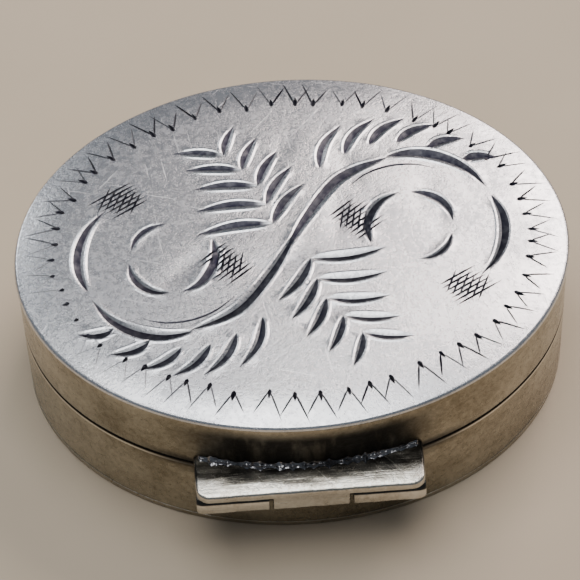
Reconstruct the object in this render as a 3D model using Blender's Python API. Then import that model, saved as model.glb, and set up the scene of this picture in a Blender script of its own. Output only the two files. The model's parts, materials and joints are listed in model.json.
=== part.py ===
"""Oval sterling silver pill box: a straight-sided base and a domed lid on a three-knuckle hinge.

Metres, +Z up. The origin is the middle of the flat underside, +X runs along the oval's long axis,
and the hinge is on the -Y side. The lid is modelled closed.
"""
import math

import bmesh
import bpy

MM = 0.001

# Driving dimensions of the oval box
HALF_LENGTH = 19.0 * MM
HALF_WIDTH = 15.0 * MM
FLOOR_THICKNESS = 0.50 * MM
BASE_TOP = 6.80 * MM
LID_BOTTOM = 6.86 * MM
LID_BAND_TOP = 11.58 * MM
LID_SHOULDER = 12.20 * MM
LID_CROWN = 0.45 * MM

# Sheet gauges and the slack between soldered pieces
BASE_WALL = 0.55 * MM
LID_WALL = 0.40 * MM
LID_SHEET = 0.59 * MM
LID_OVERHANG = 0.08 * MM
SOLDER_GAP = 0.03 * MM
EDGE_CHAMFER = 0.12 * MM

# Inner closing rim, soldered inside the base and standing up into the lid
BEZEL_SHEET = 0.30 * MM
BEZEL_BOTTOM = 3.20 * MM
BEZEL_TOP = 8.00 * MM

# Hinge: the pin's axis runs along X behind the box
HINGE_HALF_LENGTH = 7.70 * MM
KNUCKLE_SPLIT = 2.70 * MM
KNUCKLE_END_GAP = 0.22 * MM
KNUCKLE_RADIUS = 0.70 * MM
KNUCKLE_CORNER = 0.10 * MM
LEAF_CLEARANCE = 0.10 * MM
LEAF_THICKNESS = 0.76 * MM
LEAF_OVERHANG = 0.10 * MM
LEAF_CORNER = 0.90 * MM
LEAF_EDGE_ROUND = 0.22 * MM
PIN_RADIUS = 0.30 * MM
PIN_BORE_RADIUS = 0.36 * MM
PIN_INSET = 0.12 * MM
PIN_CHAMFER = 0.06 * MM
SOLDER_LEG = 0.38 * MM
HINGE_AXIS_Y = -16.30 * MM
HINGE_AXIS_Z = LID_BOTTOM - LEAF_CLEARANCE - KNUCKLE_RADIUS

# Thumb piece on the front of the lid
THUMB_HALF_WIDTH = 3.40 * MM
THUMB_REACH = 1.30 * MM
THUMB_END_REACH = 0.30 * MM
THUMB_BOTTOM = 7.25 * MM
THUMB_THICKNESS = 0.80 * MM
THUMB_BEVEL = 0.18 * MM

# Facets
OVAL_STEPS = 80
DOME_RINGS = (0.25, 0.5, 0.72, 0.88)
BORE_STEPS = 24
ARC_STEPS = 5
SHARP_ANGLE = math.radians(32)


def make_material(name, colour, roughness):
    """Return a metallic material of one colour."""
    material = bpy.data.materials.new(name)
    material.use_nodes = True
    shader = material.node_tree.nodes["Principled BSDF"]
    shader.inputs["Base Color"].default_value = (*colour, 1.0)
    shader.inputs["Metallic"].default_value = 1.0
    shader.inputs["Roughness"].default_value = roughness
    return material


def clear_scene():
    """Remove every object that the scene starts with."""
    for thing in list(bpy.data.objects):
        bpy.data.objects.remove(thing, do_unlink=True)


def finish_object(name, mesh_data, material, parent):
    """Turn a bmesh given in world coordinates into a named object under its parent empty."""
    bmesh.ops.recalc_face_normals(mesh_data, faces=mesh_data.faces)
    mesh = bpy.data.meshes.new(name)
    mesh_data.to_mesh(mesh)
    mesh_data.free()
    mesh.materials.append(material)
    mesh.shade_smooth()
    mesh.set_sharp_from_angle(angle=SHARP_ANGLE)
    thing = bpy.data.objects.new(name, mesh)
    bpy.context.collection.objects.link(thing)
    thing.parent = parent
    thing.location = [-value for value in parent.location]
    return thing


def oval_loop(mesh_data, scale, inset, height):
    """Add one oval ring of vertices, scaled about the middle and then set in from its edge."""
    ring = []
    for step in range(OVAL_STEPS):
        angle = 2.0 * math.pi * step / OVAL_STEPS
        across = (HALF_LENGTH * scale - inset) * math.cos(angle)
        along = (HALF_WIDTH * scale - inset) * math.sin(angle)
        ring.append(mesh_data.verts.new((across, along, height)))
    return ring


def join_loops(mesh_data, first, second):
    """Bridge two rings that have the same number of vertices."""
    count = len(first)
    for index in range(count):
        after = (index + 1) % count
        mesh_data.faces.new((first[index], first[after], second[after], second[index]))


def close_loop(mesh_data, ring, height):
    """Close a ring with a fan of triangles to a middle vertex."""
    middle = mesh_data.verts.new((0.0, 0.0, height))
    for index, corner in enumerate(ring):
        mesh_data.faces.new((corner, ring[(index + 1) % len(ring)], middle))


def oval_band(name, section, material, parent):
    """Carry a closed section of (inset, height) points once round the oval."""
    mesh_data = bmesh.new()
    rings = [oval_loop(mesh_data, 1.0, inset, height) for inset, height in section]
    for index, ring in enumerate(rings):
        join_loops(mesh_data, ring, rings[(index + 1) % len(rings)])
    return finish_object(name, mesh_data, material, parent)


def wall_y(x, clearance):
    """Y of the oval's outer face on the +Y side at x, moved outwards by a clearance."""
    ratio = x / (HALF_LENGTH + clearance)
    return (HALF_WIDTH + clearance) * math.sqrt(1.0 - ratio * ratio)


def loft_along_x(name, stations, section_at, material, parent):
    """Loft the (y, z) section that section_at(x) gives through the x stations, with flat ends."""
    mesh_data = bmesh.new()
    rings = []
    for x in stations:
        rings.append([mesh_data.verts.new((x, y, z)) for y, z in section_at(x)])
    for first, second in zip(rings, rings[1:]):
        join_loops(mesh_data, first, second)
    mesh_data.faces.new(rings[0])
    mesh_data.faces.new(rings[-1])
    return finish_object(name, mesh_data, material, parent)


def even_stations(start, end, count):
    """Return count + 1 evenly spaced values from start to end."""
    return [start + (end - start) * step / count for step in range(count + 1)]


def build_floor(material, parent):
    """Flat floor sheet with a chamfered lower edge."""
    mesh_data = bmesh.new()
    section = (
        (EDGE_CHAMFER, 0.0),
        (0.0, EDGE_CHAMFER),
        (0.0, FLOOR_THICKNESS),
    )
    rings = [oval_loop(mesh_data, 1.0, inset, height) for inset, height in section]
    for first, second in zip(rings, rings[1:]):
        join_loops(mesh_data, first, second)
    close_loop(mesh_data, rings[0], 0.0)
    close_loop(mesh_data, rings[-1], FLOOR_THICKNESS)
    finish_object("base_floor", mesh_data, material, parent)


def build_base_band(material, parent):
    """Upright wall of the base, chamfered along its upper outer edge."""
    bottom = FLOOR_THICKNESS + SOLDER_GAP
    section = (
        (0.0, bottom),
        (0.0, BASE_TOP - EDGE_CHAMFER),
        (EDGE_CHAMFER, BASE_TOP),
        (BASE_WALL, BASE_TOP),
        (BASE_WALL, bottom),
    )
    oval_band("base_band", section, material, parent)


def build_bezel(material, parent):
    """Inner rim that the lid closes over."""
    outer = BASE_WALL + SOLDER_GAP
    inner = outer + BEZEL_SHEET
    section = (
        (outer, BEZEL_BOTTOM),
        (outer, BEZEL_TOP - EDGE_CHAMFER),
        (outer + EDGE_CHAMFER, BEZEL_TOP),
        (inner, BEZEL_TOP),
        (inner, BEZEL_BOTTOM),
    )
    oval_band("base_bezel", section, material, parent)


def build_lid_band(material, parent):
    """Upright wall of the lid, chamfered along its lower outer edge."""
    section = (
        (EDGE_CHAMFER, LID_BOTTOM),
        (0.0, LID_BOTTOM + EDGE_CHAMFER),
        (0.0, LID_BAND_TOP),
        (LID_WALL, LID_BAND_TOP),
        (LID_WALL, LID_BOTTOM),
    )
    oval_band("lid_band", section, material, parent)


def build_lid_plate(material, parent):
    """Domed top sheet of one gauge, with a rounded edge that stands just proud of the lid's wall."""
    mesh_data = bmesh.new()
    under_rim = LID_SHOULDER - LID_SHEET
    rings = [oval_loop(mesh_data, scale, 0.0, under_rim + LID_CROWN * (1.0 - scale * scale))
             for scale in DOME_RINGS]
    edge_round = LID_SHEET * 0.55
    rim = (
        (LID_WALL, under_rim),
        (-LID_OVERHANG * 0.5, under_rim),
        (-LID_OVERHANG, under_rim + EDGE_CHAMFER),
        (-LID_OVERHANG, LID_SHOULDER - edge_round),
        (edge_round * 0.3 - LID_OVERHANG, LID_SHOULDER - edge_round * 0.3),
        (edge_round - LID_OVERHANG, LID_SHOULDER),
    )
    rings += [oval_loop(mesh_data, 1.0, inset, height) for inset, height in rim]
    rings += [oval_loop(mesh_data, scale, 0.0, LID_SHOULDER + LID_CROWN * (1.0 - scale * scale))
              for scale in reversed(DOME_RINGS)]
    for first, second in zip(rings, rings[1:]):
        join_loops(mesh_data, first, second)
    close_loop(mesh_data, rings[0], under_rim + LID_CROWN)
    close_loop(mesh_data, rings[-1], LID_SHOULDER + LID_CROWN)
    finish_object("lid_plate", mesh_data, material, parent)


def leaf_stations():
    """X stations of the hinge leaf, closer together round its corners."""
    straight = HINGE_HALF_LENGTH - LEAF_CORNER
    corner = [straight + LEAF_CORNER * math.sin(math.pi / 2.0 * step / ARC_STEPS)
              for step in range(1, ARC_STEPS + 1)]
    middle = even_stations(-straight, straight, 12)
    return [-x for x in reversed(corner)] + middle + corner


def leaf_section(x):
    """Section of the hinge leaf: straight front edge, rounded corners, back cut to the lid's wall."""
    past_straight = max(0.0, abs(x) - (HINGE_HALF_LENGTH - LEAF_CORNER))
    set_back = LEAF_CORNER - math.sqrt(max(0.0, LEAF_CORNER ** 2 - past_straight ** 2))
    front = HINGE_AXIS_Y - KNUCKLE_RADIUS - LEAF_OVERHANG + set_back
    back = -wall_y(x, SOLDER_GAP)
    top = LID_BOTTOM + LEAF_THICKNESS
    return (
        (back, LID_BOTTOM),
        (front + LEAF_EDGE_ROUND * 0.3, LID_BOTTOM),
        (front, LID_BOTTOM + LEAF_EDGE_ROUND * 0.3),
        (front, top - LEAF_EDGE_ROUND),
        (front + LEAF_EDGE_ROUND * 0.3, top - LEAF_EDGE_ROUND * 0.3),
        (front + LEAF_EDGE_ROUND, top),
        (back, top),
    )


def knuckle_front():
    """Front outline of a knuckle about the pin's axis: squared below, a quarter round above."""
    points = [
        (-KNUCKLE_RADIUS + KNUCKLE_CORNER, -KNUCKLE_RADIUS),
        (-KNUCKLE_RADIUS, -KNUCKLE_RADIUS + KNUCKLE_CORNER),
    ]
    for step in range(ARC_STEPS + 1):
        turn = math.pi / 2.0 * step / ARC_STEPS
        points.append((-KNUCKLE_RADIUS * math.cos(turn), KNUCKLE_RADIUS * math.sin(turn)))
    return [(HINGE_AXIS_Y + y, HINGE_AXIS_Z + z) for y, z in points]


def outer_knuckle_section(x):
    """Section of a base knuckle, whose back reaches the base's wall."""
    back = -wall_y(x, SOLDER_GAP)
    top = HINGE_AXIS_Z + KNUCKLE_RADIUS
    bottom = HINGE_AXIS_Z - KNUCKLE_RADIUS
    return [(back, bottom)] + knuckle_front() + [(back, top)]


def centre_knuckle_section(_x):
    """Section of the lid's knuckle, whose flat top meets the underside of the leaf."""
    top = LID_BOTTOM - SOLDER_GAP
    bottom = HINGE_AXIS_Z - KNUCKLE_RADIUS
    front = HINGE_AXIS_Y - KNUCKLE_RADIUS
    back = HINGE_AXIS_Y + KNUCKLE_RADIUS
    return (
        (back, bottom + KNUCKLE_CORNER),
        (back - KNUCKLE_CORNER, bottom),
        (front + KNUCKLE_CORNER, bottom),
        (front, bottom + KNUCKLE_CORNER),
        (front, top),
        (back, top),
    )


def pin_bore_cutter(parent):
    """Hidden cylinder along the hinge's axis that bores every knuckle."""
    reach = HINGE_HALF_LENGTH + 1.0 * MM
    cutter = loft_along_x(
        "pin_bore_cutter",
        (-reach, reach),
        lambda _x: circle_section(PIN_BORE_RADIUS),
        bpy.data.materials[0],
        parent,
    )
    cutter.hide_render = True
    cutter.display_type = "WIRE"
    return cutter


def circle_section(radius):
    """Round (y, z) section about the hinge's axis."""
    points = []
    for step in range(BORE_STEPS):
        angle = 2.0 * math.pi * step / BORE_STEPS
        y = HINGE_AXIS_Y + radius * math.cos(angle)
        z = HINGE_AXIS_Z + radius * math.sin(angle)
        points.append((y, z))
    return points


def bore(thing, cutter):
    """Cut the pin's hole through a knuckle."""
    cut = thing.modifiers.new("pin_bore", "BOOLEAN")
    cut.operation = "DIFFERENCE"
    cut.solver = "EXACT"
    cut.object = cutter


def build_knuckles(material, base, lid):
    """Two knuckles on the base and one on the lid, all bored for the pin."""
    inner_end = KNUCKLE_SPLIT + KNUCKLE_END_GAP / 2.0
    lid_end = KNUCKLE_SPLIT - KNUCKLE_END_GAP / 2.0
    cutter = pin_bore_cutter(base)
    for name, side in (("base_knuckle_left", -1.0), ("base_knuckle_right", 1.0)):
        stations = [side * x for x in even_stations(inner_end, HINGE_HALF_LENGTH, 5)]
        bore(loft_along_x(name, stations, outer_knuckle_section, material, base), cutter)
    lid_knuckle = loft_along_x(
        "lid_knuckle", (-lid_end, lid_end), centre_knuckle_section, material, lid)
    bore(lid_knuckle, cutter)


def build_pin(material, parent):
    """Round hinge pin with chamfered ends, set just inside the outer knuckles."""
    end = HINGE_HALF_LENGTH - PIN_INSET
    shoulder = end - PIN_CHAMFER

    def pin_section(x):
        """Full radius between the chamfers."""
        return circle_section(PIN_RADIUS if abs(x) <= shoulder else PIN_RADIUS - PIN_CHAMFER)

    loft_along_x("hinge_pin", (-end, -shoulder, shoulder, end), pin_section, material, parent)


def build_leaf_solder(material, parent):
    """Hollow fillet of solder where the leaf's top meets the lid's wall."""
    reach = HINGE_HALF_LENGTH - LEAF_CORNER
    low = LID_BOTTOM + LEAF_THICKNESS + SOLDER_GAP

    def fillet(x):
        """Three-sided section with a hollow face."""
        back = -wall_y(x, SOLDER_GAP)
        return (
            (back, low),
            (back - SOLDER_LEG, low),
            (back - SOLDER_LEG * 0.35, low + SOLDER_LEG * 0.35),
            (back, low + SOLDER_LEG),
        )

    loft_along_x("lid_leaf_solder", even_stations(-reach, reach, 12), fillet, material, parent)


def build_knuckle_solder(material, parent):
    """Fillets of solder under the two base knuckles."""
    high = HINGE_AXIS_Z - KNUCKLE_RADIUS - SOLDER_GAP

    def fillet(x):
        """Three-sided section with a hollow face."""
        back = -wall_y(x, SOLDER_GAP)
        return (
            (back, high),
            (back - SOLDER_LEG, high),
            (back - SOLDER_LEG * 0.35, high - SOLDER_LEG * 0.35),
            (back, high - SOLDER_LEG),
        )

    start = KNUCKLE_SPLIT + KNUCKLE_END_GAP
    for name, side in (("base_solder_left", -1.0), ("base_solder_right", 1.0)):
        stations = [side * x for x in even_stations(start, HINGE_HALF_LENGTH - SOLDER_LEG, 5)]
        loft_along_x(name, stations, fillet, material, parent)


def thumb_section(x):
    """Section of the thumb piece, whose reach falls away to its ends."""
    share = abs(x) / THUMB_HALF_WIDTH
    reach = THUMB_END_REACH + (THUMB_REACH - THUMB_END_REACH) * math.sqrt(1.0 - share * share)
    back = wall_y(x, SOLDER_GAP)
    front = wall_y(x, SOLDER_GAP) + reach
    top = THUMB_BOTTOM + THUMB_THICKNESS
    return (
        (back, THUMB_BOTTOM),
        (front - THUMB_BEVEL, THUMB_BOTTOM),
        (front, THUMB_BOTTOM + THUMB_BEVEL),
        (front, top - THUMB_BEVEL),
        (front - THUMB_BEVEL, top),
        (back, top),
    )


def build_thumb_piece(material, parent):
    """Small lip on the front of the lid that a thumbnail lifts."""
    stations = [THUMB_HALF_WIDTH * math.sin(math.pi / 2.0 * step / 6) for step in range(-6, 7)]
    loft_along_x("thumb_piece", stations, thumb_section, material, parent)


def add_empty(name, location):
    """Add an empty that carries one rigid group of pieces."""
    empty = bpy.data.objects.new(name, None)
    empty.location = location
    bpy.context.collection.objects.link(empty)
    return empty


def build_box():
    """Build the base group and the lid group, whose empty lies on the hinge's axis."""
    engraved = make_material("engraved_silver", (0.80, 0.80, 0.79), 0.26)
    walls = make_material("wall_silver", (0.66, 0.61, 0.52), 0.34)
    inside = make_material("inner_silver", (0.78, 0.76, 0.71), 0.32)
    fittings = make_material("hinge_silver", (0.70, 0.67, 0.60), 0.30)
    wire = make_material("pin_wire", (0.52, 0.50, 0.47), 0.36)
    solder = make_material("silver_solder", (0.55, 0.51, 0.43), 0.45)
    base = add_empty("base_group", (0.0, 0.0, 0.0))
    lid = add_empty("lid_group", (0.0, HINGE_AXIS_Y, HINGE_AXIS_Z))
    build_floor(inside, base)
    build_base_band(walls, base)
    build_bezel(inside, base)
    build_lid_band(walls, lid)
    build_lid_plate(engraved, lid)
    build_knuckles(fittings, base, lid)
    build_pin(wire, base)
    loft_along_x("lid_hinge_leaf", leaf_stations(), leaf_section, fittings, lid)
    build_leaf_solder(solder, lid)
    build_knuckle_solder(solder, base)
    build_thumb_piece(fittings, lid)


clear_scene()
build_box()
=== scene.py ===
"""Looks of the oval silver pill box: fine pieces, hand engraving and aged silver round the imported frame.

Shapes are worked out in millimetres in the frame's own axes and scaled to metres when a mesh is made.
"""
import json
import math

import bmesh
import bpy
import numpy as np
from mathutils import Matrix, Vector, noise
from mathutils.geometry import delaunay_2d_cdt, tessellate_polygon


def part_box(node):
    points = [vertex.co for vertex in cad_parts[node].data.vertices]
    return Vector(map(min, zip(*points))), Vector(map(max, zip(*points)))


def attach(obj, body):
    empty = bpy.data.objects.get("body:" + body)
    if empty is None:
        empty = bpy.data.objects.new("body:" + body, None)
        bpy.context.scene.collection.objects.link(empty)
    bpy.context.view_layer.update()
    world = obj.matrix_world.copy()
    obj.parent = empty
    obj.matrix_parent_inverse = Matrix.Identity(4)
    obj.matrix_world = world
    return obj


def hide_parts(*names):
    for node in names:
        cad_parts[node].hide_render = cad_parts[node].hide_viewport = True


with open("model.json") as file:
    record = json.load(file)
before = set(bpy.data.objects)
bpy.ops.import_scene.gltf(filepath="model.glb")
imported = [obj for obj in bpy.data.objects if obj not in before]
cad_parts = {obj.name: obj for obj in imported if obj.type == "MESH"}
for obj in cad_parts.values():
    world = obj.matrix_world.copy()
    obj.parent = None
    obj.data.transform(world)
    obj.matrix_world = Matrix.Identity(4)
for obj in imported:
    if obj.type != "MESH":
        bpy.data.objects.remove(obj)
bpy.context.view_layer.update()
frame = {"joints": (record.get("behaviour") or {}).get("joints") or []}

MM = 0.001


def node_box(node):
    """Lowest and highest corner of a CAD node in millimetres."""
    low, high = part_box(node)
    return low / MM, high / MM


# Driving sizes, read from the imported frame
BAND_LOW, BAND_HIGH = node_box("lid_band")
BASE_LOW, BASE_HIGH = node_box("base_band")
PLATE_LOW, PLATE_HIGH = node_box("lid_plate")
FLOOR_LOW, FLOOR_HIGH = node_box("base_floor")
BEZEL_LOW, BEZEL_HIGH = node_box("base_bezel")
LEAF_LOW, LEAF_HIGH = node_box("lid_hinge_leaf")
KNUCKLE_LOW, KNUCKLE_HIGH = node_box("lid_knuckle")
OUTER_LOW, OUTER_HIGH = node_box("base_knuckle_right")
PIN_LOW, PIN_HIGH = node_box("hinge_pin")
THUMB_LOW, THUMB_HIGH = node_box("thumb_piece")
AXIS = Vector(frame["joints"][0]["pos_m"]) / MM
HALF_LENGTH = BAND_HIGH.x
HALF_WIDTH = BAND_HIGH.y
OVERHANG = PLATE_HIGH.x - HALF_LENGTH
SEAM = (BAND_LOW.z + BASE_HIGH.z) / 2.0

# Sheet gauges and small gaps
BASE_WALL = 0.55
LID_WALL = 0.40
SOLDER_GAP = 0.03
BEZEL_SHEET = 0.30
PIN_BORE = 0.36
PIN_RADIUS = (PIN_HIGH.z - PIN_LOW.z) / 2.0

# The lid's domed top
CROWN_DROP = 0.45  # fall from the middle to the rim
RIM_DROP = 0.20  # further fall of the worn rim
RIM_START = 0.82  # share of the radius at which that fall starts
ROLL_RADIUS = 0.32  # rolled edge
UNDER_SHARE = 0.98  # the underside's crown as a share of the top's
DENT_DEPTH = 0.022
DENT_SCALE = 0.21  # dents per millimetre
HOLLOW_COUNT = 9
HOLLOW_SCALE = 1.7
HOLLOWS = []  # filled in by engrave

# Graver's cuts
CURL = (8.2, 0.6)  # middle of the right-hand curl
BROAD_CUT = 1.22  # widening of every cut that leans to one side
LIP_WIDTH = 0.26
LIP_SHARE = 0.32  # height of the raised lip for one millimetre of depth
HATCH_WIDTH = 1.15
FINE_STEEP = 0.36  # depth of a fine line for one millimetre of width
STAIN_EDGE = 60.0  # how sharply the oxide starts at a cut's edge
# The far side of a leaning cut gets less of the painted shade than its broad side, so that it reads as lit
FAR_SIDE_STAIN = 0.6
CUTS = []  # filled in by engrave

# The zigzag border
BORDER_TEETH = 58
BORDER_INNER = 2.70
BORDER_OUTER = 0.45
FAINT_TURN = 205.0  # direction in which the border is worn faint
FAINT_LOSS = 0.80
FAINT_SPREAD = 0.55

# Worn and rounded edges of the hinge and the walls
KNUCKLE_SHOULDER = 0.65
KNUCKLE_FALL = 0.20
KNUCKLE_INSET = 0.07
LEAF_FALL = 0.15
LEAF_CORNER = 1.0
LEAF_END = 0.20
LEAF_CORNER_STEPS = 8
LEAF_TOP_STEPS = 12
HINGE_SWAY = 0.02
WALL_SWAY = 0.05
FLOOR_SAG = 0.05

# Fineness of the meshes
OVAL_STEPS = 360
GRID_PITCH = 0.55
GRID_ROW_SHARE = 0.866  # row spacing of a grid of even triangles
GRID_INSET = 0.75
GRID_CLEARANCE = 0.16
ARC_STEPS = 6
PIN_STEPS = 32
SEED = 11


# ---- meshes

class Shell:
    """Vertices and faces of one closed piece, in millimetres, while it is being put together."""

    def __init__(self):
        self.points = []
        self.faces = []

    def add(self, points):
        """Add points and return their numbers."""
        start = len(self.points)
        self.points.extend(tuple(point) for point in points)
        return list(range(start, len(self.points)))

    def bridge(self, first, second):
        """Join two closed loops of as many points each."""
        for index in range(len(first)):
            after = (index + 1) % len(first)
            self.faces.append((first[index], first[after], second[after], second[index]))

    def fan(self, ring, middle):
        """Close a loop with triangles to one middle point."""
        centre = self.add([middle])[0]
        for index, corner in enumerate(ring):
            self.faces.append((corner, ring[(index + 1) % len(ring)], centre))

    def cap(self, *rings):
        """Close one loop, or the space between a loop and the holes inside it."""
        numbers = [number for ring in rings for number in ring]
        loops = [[Vector(self.points[number]) for number in ring] for ring in rings]
        for triangle in tessellate_polygon(loops):
            self.faces.append(tuple(numbers[corner] for corner in triangle))


def show(thing):
    """Put an object in the scene."""
    bpy.context.scene.collection.objects.link(thing)


def add_piece(name, shell, material, body, nodes, sharp=30.0):
    """Make the mesh object, shade it, give it its material, put it under its body's empty and hide the CAD
    nodes it stands for.
    """
    mesh = bpy.data.meshes.new(name)
    scaled = [tuple(value * MM for value in point) for point in shell.points]
    mesh.from_pydata(scaled, [], shell.faces)
    mesh.validate()
    face_outwards(mesh)
    mesh.shade_smooth()
    mesh.set_sharp_from_angle(angle=math.radians(sharp))
    mesh.materials.append(material)
    piece = bpy.data.objects.new(name, mesh)
    show(piece)
    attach(piece, body)
    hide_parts(*nodes)
    return piece


def face_outwards(mesh):
    """Turn every face of a closed mesh outwards."""
    work = bmesh.new()
    work.from_mesh(mesh)
    bmesh.ops.recalc_face_normals(work, faces=work.faces)
    work.to_mesh(mesh)
    work.free()


def rounded_outline(corners, steps=ARC_STEPS):
    """Round the corners of a closed 2-D outline, given as (u, v, radius) points."""
    outline = []
    count = len(corners)
    for index, (u, v, radius) in enumerate(corners):
        here = Vector((u, v))
        if radius <= 0.0:
            outline.append((u, v))
            continue
        before = (Vector(corners[index - 1][:2]) - here).normalized()
        after = (Vector(corners[(index + 1) % count][:2]) - here).normalized()
        start = here + before * radius
        end = here + after * radius
        for step in range(steps + 1):
            share = step / steps
            point = start * (1 - share) ** 2 + here * 2 * share * (1 - share) + end * share ** 2
            outline.append((point.x, point.y))
    return outline


def wobble(angle, height, size):
    """Slight unevenness of a hand-made wall, in millimetres."""
    place = Vector((math.cos(angle) * 2.4, math.sin(angle) * 2.4, height * 0.16))
    return size * noise.noise(place)


def oval_ring(inset, height, uneven=0.0):
    """Points of one oval ring, set in from the walls' outer face."""
    ring = []
    for step in range(OVAL_STEPS):
        angle = 2.0 * math.pi * step / OVAL_STEPS
        off = inset - wobble(angle, height, uneven)
        ring.append(((HALF_LENGTH - off) * math.cos(angle), (HALF_WIDTH - off) * math.sin(angle), height))
    return ring


def oval_band(section, uneven=0.0):
    """Closed band with one (inset, height) section all the way round the oval."""
    shell = Shell()
    rings = [shell.add(oval_ring(inset, height, uneven)) for inset, height in section]
    for index, ring in enumerate(rings):
        shell.bridge(ring, rings[(index + 1) % len(rings)])
    return shell


def split_long_sides(outline, pitch):
    """Add points along the long sides of a closed outline."""
    finer = []
    for index, (u, v) in enumerate(outline):
        after = outline[(index + 1) % len(outline)]
        length = math.hypot(after[0] - u, after[1] - v)
        parts = max(1, int(length / pitch))
        for part in range(parts):
            share = part / parts
            finer.append((u + (after[0] - u) * share, v + (after[1] - v) * share))
    return finer


def wall_y(x, clearance):
    """Y of the oval's outer face at x, on the +Y side, moved outwards by a clearance."""
    ratio = min(1.0, abs(x) / (HALF_LENGTH + clearance))
    return (HALF_WIDTH + clearance) * math.sqrt(1.0 - ratio * ratio)


def rounded_ends(start, end, edge, middle_steps):
    """Stations (x, shrink) along a piece whose two end edges are rounded."""
    turns = [math.pi / 2.0 * step / ARC_STEPS for step in range(ARC_STEPS + 1)]
    curve = [(edge * (1.0 - math.sin(turn)), edge * (1.0 - math.cos(turn))) for turn in turns]
    head = [(start + inward, shrink) for inward, shrink in reversed(curve)]
    tail = [(end - inward, shrink) for inward, shrink in curve]
    span = end - start - 2.0 * edge
    middle = [(start + edge + span * step / middle_steps, 0.0) for step in range(1, middle_steps)]
    return head + middle + tail


def loft(stations, section_at, bore=None, sway=0.0):
    """Closed loft along X.

    section_at(x, shrink) gives (y, z) points; bore is the radius of the pin's hole; sway is the
    unevenness of the surface.
    """
    shell = Shell()
    outer = []
    inner = []
    for x, shrink in stations:
        points = []
        for y, z in section_at(x, shrink):
            shift = sway * noise.noise(Vector((x * 0.9, y * 1.7, z * 1.7)))
            points.append((x, y + shift, z + shift))
        outer.append(shell.add(points))
        if bore:
            inner.append(shell.add(pin_circle(x, bore)))
    for rings in (outer, inner):
        for first, second in zip(rings, rings[1:]):
            shell.bridge(first, second)
    for end in (0, -1):
        if bore:
            shell.cap(outer[end], inner[end])
        else:
            shell.cap(outer[end])
    return shell


def pin_circle(x, radius):
    """Circle about the hinge's axis."""
    turns = [2.0 * math.pi * step / PIN_STEPS for step in range(PIN_STEPS)]
    return [(x, AXIS.y + radius * math.cos(turn), AXIS.z + radius * math.sin(turn)) for turn in turns]


# ---- engraving

def smooth_path(points, spacing):
    """Points along a smooth curve through a few points, about as far apart as the spacing."""
    knots = [Vector(point) for point in points]
    if len(knots) == 2:
        knots.insert(1, (knots[0] + knots[1]) / 2.0)
    padded = [knots[0] * 2 - knots[1]] + knots + [knots[-1] * 2 - knots[-2]]
    length = sum((b - a).length for a, b in zip(knots, knots[1:]))
    count = max(4, int(length / spacing))
    path = []
    for step in range(count + 1):
        place = step / count * (len(knots) - 1)
        index = min(int(place), len(knots) - 2)
        share = place - index
        a, b, c, d = padded[index:index + 4]
        path.append((b * 2 + (c - a) * share + (a * 2 - b * 5 + c * 4 - d) * share ** 2
                     + (b * 3 - a - c * 3 + d) * share ** 3) / 2.0)
    return path


def swell(share, peak, taper):
    """Width of a graver's cut along its length: a rounded start, a peak and a long fine tip."""
    if share < peak:
        return math.sin(math.pi / 2.0 * share / peak) ** 0.7
    return max(0.0, math.cos(math.pi / 2.0 * (share - peak) / (1.0 - peak))) ** taper


def cut(*points, width=0.42, lean=0.38, peak=0.35, steep=0.18, dark=1.0, pale=0.0, spacing=0.28, taper=1.0):
    """Record one graver's cut through a few points.

    width is its greatest width and peak the share of its length where it has it.
    lean is 1 where the whole width is the broad side on the left of the stroke, -1 on its right.
    steep is the depth for one millimetre of width.
    dark is how black the oxide and painted shade are, and pale the share at the start left without them.
    spacing is the distance between the points of the path, and taper how fine the tip is.
    """
    path = smooth_path(points, spacing)
    count = len(path)
    shares = [index / (count - 1) for index in range(count)]
    full = width * (BROAD_CUT if lean else 1.0)
    widths = np.array([full * swell(share, peak, taper) for share in shares])
    CUTS.append({
        "path": np.array([tuple(point) for point in path]),
        "left": widths * (1.0 + lean) / 2.0,
        "right": widths * (1.0 - lean) / 2.0,
        "depth": widths * steep,
        "dark": np.array([dark * min(1.0, max(0.0, 1.0 + (share - pale) * 6.0)) for share in shares]),
        "lean": lean,
    })


def heading(degrees):
    """Unit vector on the lid at an angle from its long axis."""
    return Vector((math.cos(math.radians(degrees)), math.sin(math.radians(degrees))))


def arc(centre, radius, start, end, **style):
    """Cut along a circle from one angle to another."""
    steps = 4
    turns = [start + (end - start) * step / steps for step in range(steps + 1)]
    cut(*[Vector(centre) + heading(turn) * radius for turn in turns], **style)


def leaflet(root, turn, reach, curl=8.0, **style):
    """Cut that leaves its root at an angle and bends by curl degrees on its way to the tip."""
    middle = Vector(root) + heading(turn + curl * 0.25) * reach / 2.0
    cut(root, middle, middle + heading(turn + curl * 0.75) * reach / 2.0, **style)


def spray(spine, count, turn, reach, width, curl=(8.0, 8.0), **style):
    """Leaflets at even steps along a spine; each pair of values holds the first and the last leaflet's."""
    path = smooth_path(spine, 0.1)
    for number in range(count):
        share = number / (count - 1)
        pairs = (turn, reach, width, curl)
        here = [first + (last - first) * share for first, last in pairs]
        root = path[round(share * (len(path) - 1))]
        leaflet(root, here[0], here[1], here[3], width=here[2], **style)


def scroll():
    """Half of the S-shaped scroll: the stem from the lid's middle, its outer curl and the bud inside it."""
    cut((-0.6, -1.2), (1.4, 2.0), (4.0, 5.2), (7.4, 6.9), width=0.66, peak=0.6)
    arc(CURL, 6.4, 100.0, 28.0, width=0.70, peak=0.4)
    arc(CURL, 6.3, 22.0, -46.0, width=0.60, peak=0.4)
    arc(CURL, 5.5, 138.0, 62.0, width=0.18, lean=0.0, peak=0.5)
    arc(CURL, 3.1, 204.0, 98.0, width=0.60, lean=-0.4, peak=0.45)
    arc(CURL, 3.0, 84.0, 4.0, width=0.50, peak=0.5)
    arc(CURL, 2.9, -16.0, -84.0, width=0.34, peak=0.5)


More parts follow.
